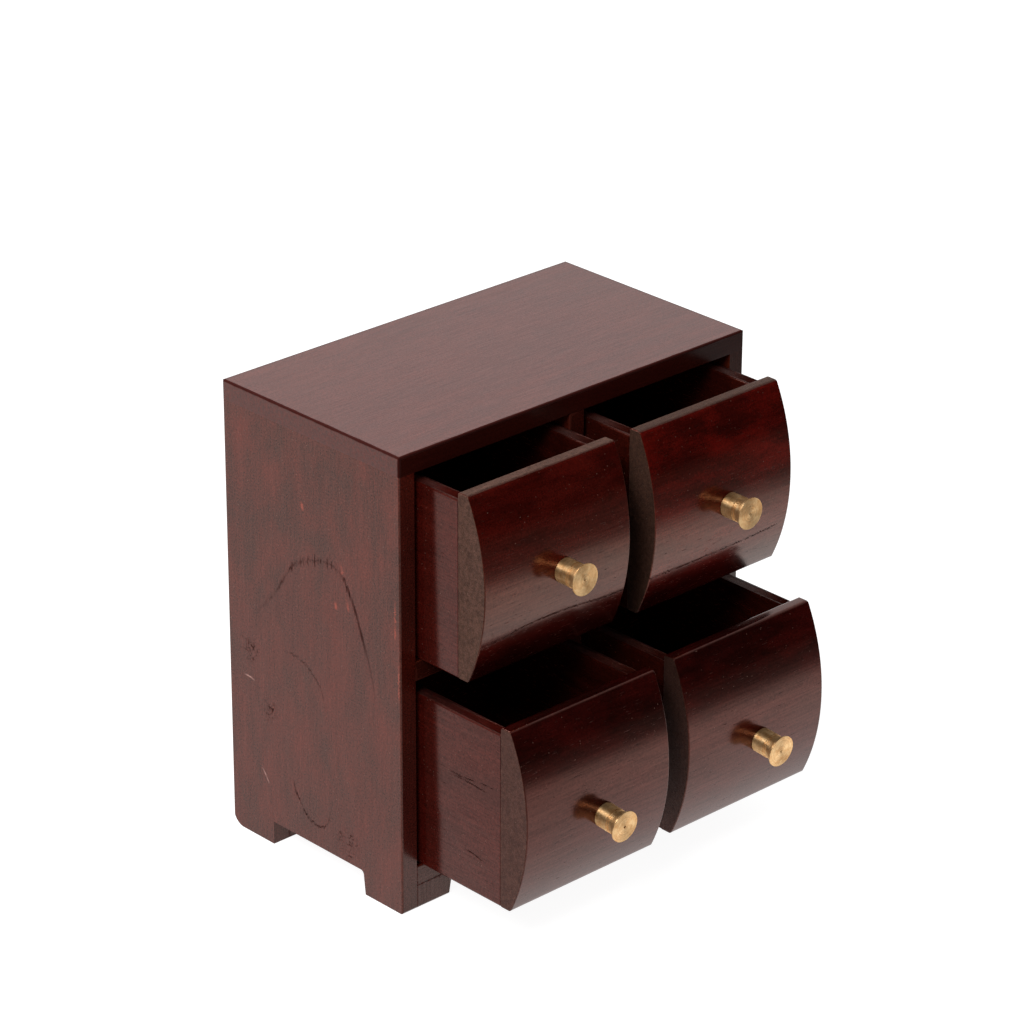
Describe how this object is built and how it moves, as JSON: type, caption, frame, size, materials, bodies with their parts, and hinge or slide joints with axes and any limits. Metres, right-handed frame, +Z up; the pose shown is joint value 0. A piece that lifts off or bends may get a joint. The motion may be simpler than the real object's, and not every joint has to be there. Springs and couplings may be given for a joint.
{
  "type": "desktop mini drawers",
  "caption": "Small dark-stained wooden desktop chest on bracket feet, with bow-fronted drawers on turned brass knobs.",
  "frame": {"origin": "on the floor under the object, at the middle of the carcass width, and midway between the face of the foremost knob (lower left drawer, open as stored) and the back of the carcass", "axes": "+X along the front from the left side panel to the right one as seen from the front, +Y from front to back, +Z up; drawers open along -Y"},
  "size_m": [0.15, 0.1416, 0.1592],
  "materials": {
    "stained_wood": "dark reddish-brown mahogany stain under clear lacquer, semi-gloss",
    "stained_wood_inside": "thin dark stain, matt",
    "turned_brass": "lathe-turned, bright, unlacquered",
    "steel_fixings": "plain zinc-plated"
  },
  "bodies": {
    "carcass": {"top_panel": "stained_wood", "left_side_panel": "stained_wood", "right_side_panel": "stained_wood", "bottom_panel": "stained_wood_inside", "middle_shelf": "stained_wood_inside", "upper_divider": "stained_wood_inside", "lower_divider": "stained_wood_inside", "back_panel": "stained_wood_inside", "back_panel_brads": "steel_fixings", "front_left_foot_block": "stained_wood", "front_right_foot_block": "stained_wood", "back_left_foot_block": "stained_wood", "back_right_foot_block": "stained_wood"},
    "upper_left_drawer": {"upper_left_drawer_front": "stained_wood", "upper_left_drawer_left_side": "stained_wood", "upper_left_drawer_right_side": "stained_wood", "upper_left_drawer_back": "stained_wood_inside", "upper_left_drawer_bottom": "stained_wood_inside", "upper_left_drawer_knob": "turned_brass", "upper_left_drawer_knob_screw": "steel_fixings"},
    "upper_right_drawer": {"upper_right_drawer_front": "stained_wood", "upper_right_drawer_left_side": "stained_wood", "upper_right_drawer_right_side": "stained_wood", "upper_right_drawer_back": "stained_wood_inside", "upper_right_drawer_bottom": "stained_wood_inside", "upper_right_drawer_knob": "turned_brass", "upper_right_drawer_knob_screw": "steel_fixings"},
    "lower_left_drawer": {"lower_left_drawer_front": "stained_wood", "lower_left_drawer_left_side": "stained_wood", "lower_left_drawer_right_side": "stained_wood", "lower_left_drawer_back": "stained_wood_inside", "lower_left_drawer_bottom": "stained_wood_inside", "lower_left_drawer_knob": "turned_brass", "lower_left_drawer_knob_screw": "steel_fixings"},
    "lower_right_drawer": {"lower_right_drawer_front": "stained_wood", "lower_right_drawer_left_side": "stained_wood", "lower_right_drawer_right_side": "stained_wood", "lower_right_drawer_back": "stained_wood_inside", "lower_right_drawer_bottom": "stained_wood_inside", "lower_right_drawer_knob": "turned_brass", "lower_right_drawer_knob_screw": "steel_fixings"}
  },
  "joints": [
    {"name": "upper_left_drawer_slide", "type": "slide", "parent": "carcass", "child": "upper_left_drawer", "axis": [0, -1, 0], "range_m": [-0.022, 0.036]},
    {"name": "upper_right_drawer_slide", "type": "slide", "parent": "carcass", "child": "upper_right_drawer", "axis": [0, -1, 0], "range_m": [-0.0229, 0.0351]},
    {"name": "lower_left_drawer_slide", "type": "slide", "parent": "carcass", "child": "lower_left_drawer", "axis": [0, -1, 0], "range_m": [-0.0412, 0.0168]},
    {"name": "lower_right_drawer_slide", "type": "slide", "parent": "carcass", "child": "lower_right_drawer", "axis": [0, -1, 0], "range_m": [-0.0399, 0.0181]}
  ]
}
